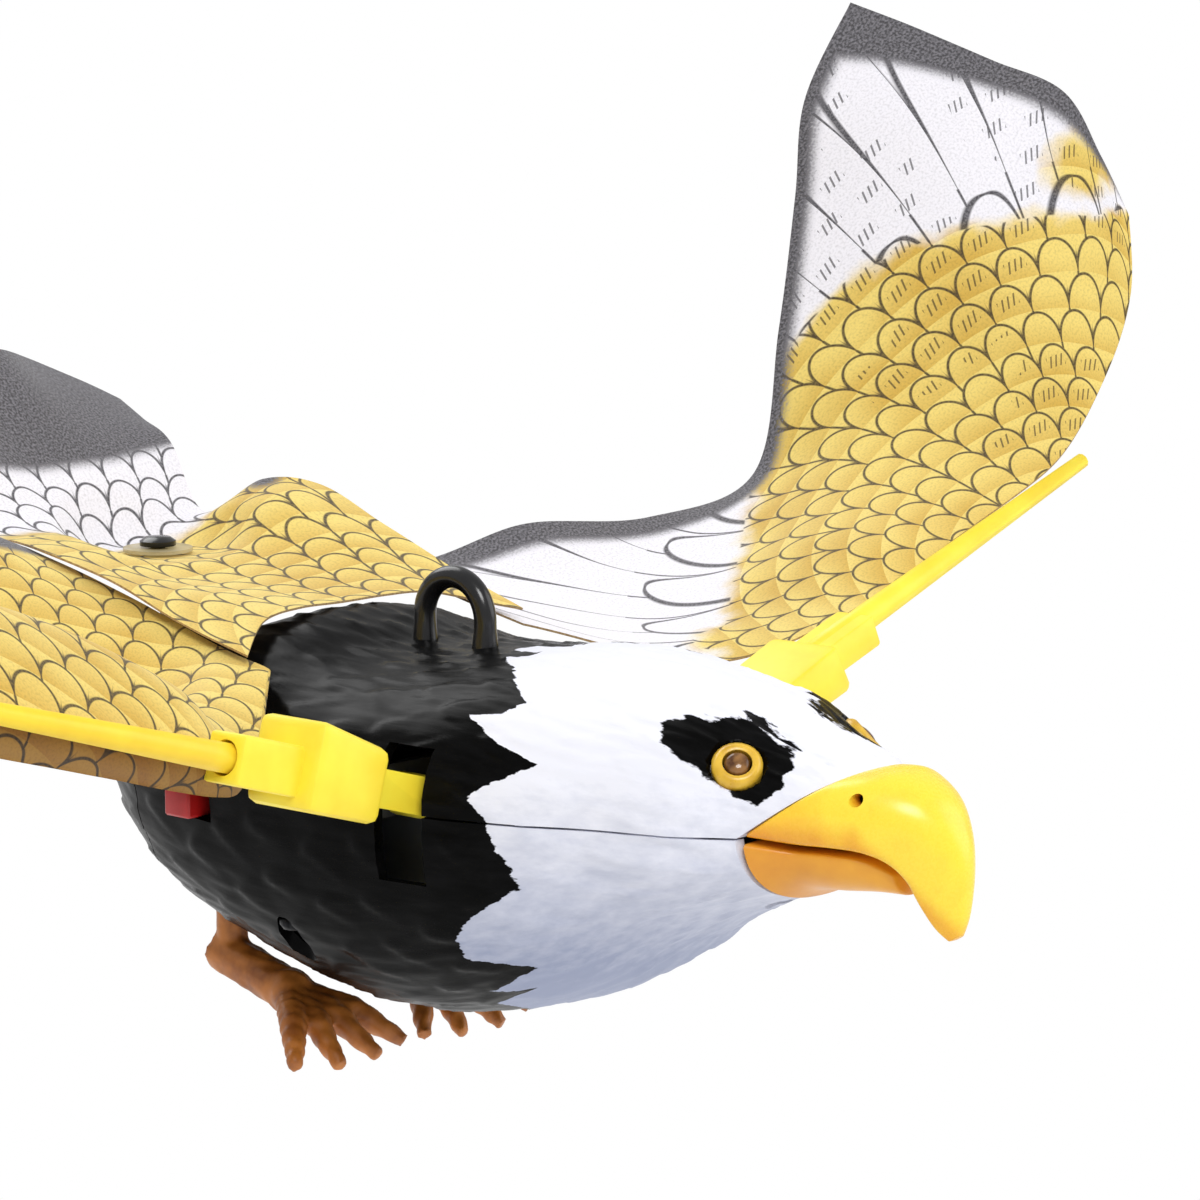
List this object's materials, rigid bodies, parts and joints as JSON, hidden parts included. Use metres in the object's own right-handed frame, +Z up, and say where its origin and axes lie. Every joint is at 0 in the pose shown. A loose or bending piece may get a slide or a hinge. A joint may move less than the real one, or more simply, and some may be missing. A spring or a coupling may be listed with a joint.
{
  "type": "hanging bird deterrent",
  "caption": "Battery-driven hanging bird of prey with glossy two-shell body, hooked beak, printed cloth wings and tail, and a geared crank that flaps the wings.",
  "frame": {"origin": "where a cord bears on the inside of the hang ring, at the ring's highest point", "axes": "+Z up, -Y towards the beak, +X towards the bird's left wing"},
  "size_m": [0.3048, 0.1928, 0.1453],
  "materials": {
    "body_black": "glossy black with a white painted head",
    "beak_yellow": "satin yellow",
    "beak_orange": "satin orange",
    "lemon_plastic": "moulded lemon yellow",
    "pupil_plastic": "tinted clear brown",
    "foot_brown": "moulded brown",
    "switch_red": "moulded red",
    "cloth_print": "printed feather pattern",
    "patch_film": "plain",
    "steel": "plain",
    "acetal_white": "moulded white",
    "frame_grey": "moulded grey",
    "board_green": "solder mask",
    "cell_wrap": "printed wrap, blank",
    "led_clear": "clear"
  },
  "bodies": {
    "bird_body": {"upper_shell": "body_black", "lower_shell": "body_black", "hang_ring": "body_black", "tail_stud": "body_black", "upper_beak": "beak_yellow", "lower_beak": "beak_orange", "left_eye_ring": "lemon_plastic", "right_eye_ring": "lemon_plastic", "left_eye_lens": "pupil_plastic", "right_eye_lens": "pupil_plastic", "left_eye_led": "led_clear", "right_eye_led": "led_clear", "left_foot": "foot_brown", "right_foot": "foot_brown", "left_pivot_pin": "steel", "right_pivot_pin": "steel", "wing_frame": "frame_grey", "gearbox_rear_plate": "frame_grey", "gearbox_front_plate": "frame_grey", "motor_can": "steel", "idler_shaft": "steel", "circuit_board": "board_green", "speaker": "frame_grey", "battery_tray": "frame_grey", "cell_1": "cell_wrap", "cell_2": "cell_wrap", "cell_3": "cell_wrap", "front_contact": "steel", "switch_body": "frame_grey", "tail_washer": "patch_film", "tail_sheet": "cloth_print", "front_shell_screw": "steel", "left_shell_screw": "steel", "right_shell_screw": "steel"},
    "door": {"battery_door": "body_black", "rear_contact": "steel"},
    "left_wing": {"left_wing_socket": "lemon_plastic", "left_wing_rod": "lemon_plastic", "left_wing_sheet": "cloth_print"},
    "right_wing": {"right_wing_socket": "lemon_plastic", "right_wing_rod": "lemon_plastic", "right_wing_sheet": "cloth_print"},
    "left_link": {"left_connecting_rod": "acetal_white"},
    "right_link": {"right_connecting_rod": "acetal_white"},
    "crank": {"crank_disc": "acetal_white", "crank_gear": "acetal_white"},
    "idler": {"compound_gear": "acetal_white"},
    "rotor": {"motor_pinion": "steel"},
    "switch": {"switch_knob": "switch_red"}
  },
  "joints": [
    {"name": "left_wing_flap", "type": "hinge", "parent": "bird_body", "child": "left_wing", "pos_m": [0.0262, -0.021, -0.0235], "axis": [0, -1, 0], "range_deg": [-32, 1]},
    {"name": "right_wing_flap", "type": "hinge", "parent": "bird_body", "child": "right_wing", "pos_m": [-0.0262, -0.021, -0.0235], "axis": [0, 1, 0], "range_deg": [-32, 1]},
    {"name": "left_link_swing", "type": "hinge", "parent": "left_wing", "child": "left_link", "pos_m": [0.00926, -0.021, -0.02649], "axis": [0, -1, 0], "range_deg": [-1, 32]},
    {"name": "right_link_swing", "type": "hinge", "parent": "right_wing", "child": "right_link", "pos_m": [-0.00913, -0.021, -0.0256], "axis": [0, 1, 0], "range_deg": [-1, 32]},
    {"name": "crank_turn", "type": "hinge", "parent": "bird_body", "child": "crank", "pos_m": [0, -0.0305, -0.0343], "axis": [0, 1, 0], "continuous": true},
    {"name": "idler_turn", "type": "hinge", "parent": "bird_body", "child": "idler", "pos_m": [0.00944, -0.0305, -0.0261], "axis": [0, 1, 0], "continuous": true},
    {"name": "motor_turn", "type": "hinge", "parent": "bird_body", "child": "rotor", "pos_m": [0, -0.0407, -0.0215], "axis": [0, 1, 0], "continuous": true},
    {"name": "battery_door_hinge", "type": "hinge", "parent": "bird_body", "child": "door", "pos_m": [0, 0.0372, -0.04946], "axis": [-1, 0, 0], "range_deg": [0, 55]},
    {"name": "power_switch_slide", "type": "slide", "parent": "bird_body", "child": "switch", "axis": [0, -1, 0], "range_m": [0, 0.0025]}
  ],
  "couplings": [
    {"joint": "right_wing_flap", "follows": "left_wing_flap", "ratio": 1},
    {"joint": "left_link_swing", "follows": "left_wing_flap", "ratio": -1},
    {"joint": "right_link_swing", "follows": "left_wing_flap", "ratio": -1},
    {"joint": "idler_turn", "follows": "crank_turn", "ratio": -4},
    {"joint": "motor_turn", "follows": "crank_turn", "ratio": 12.8}
  ]
}
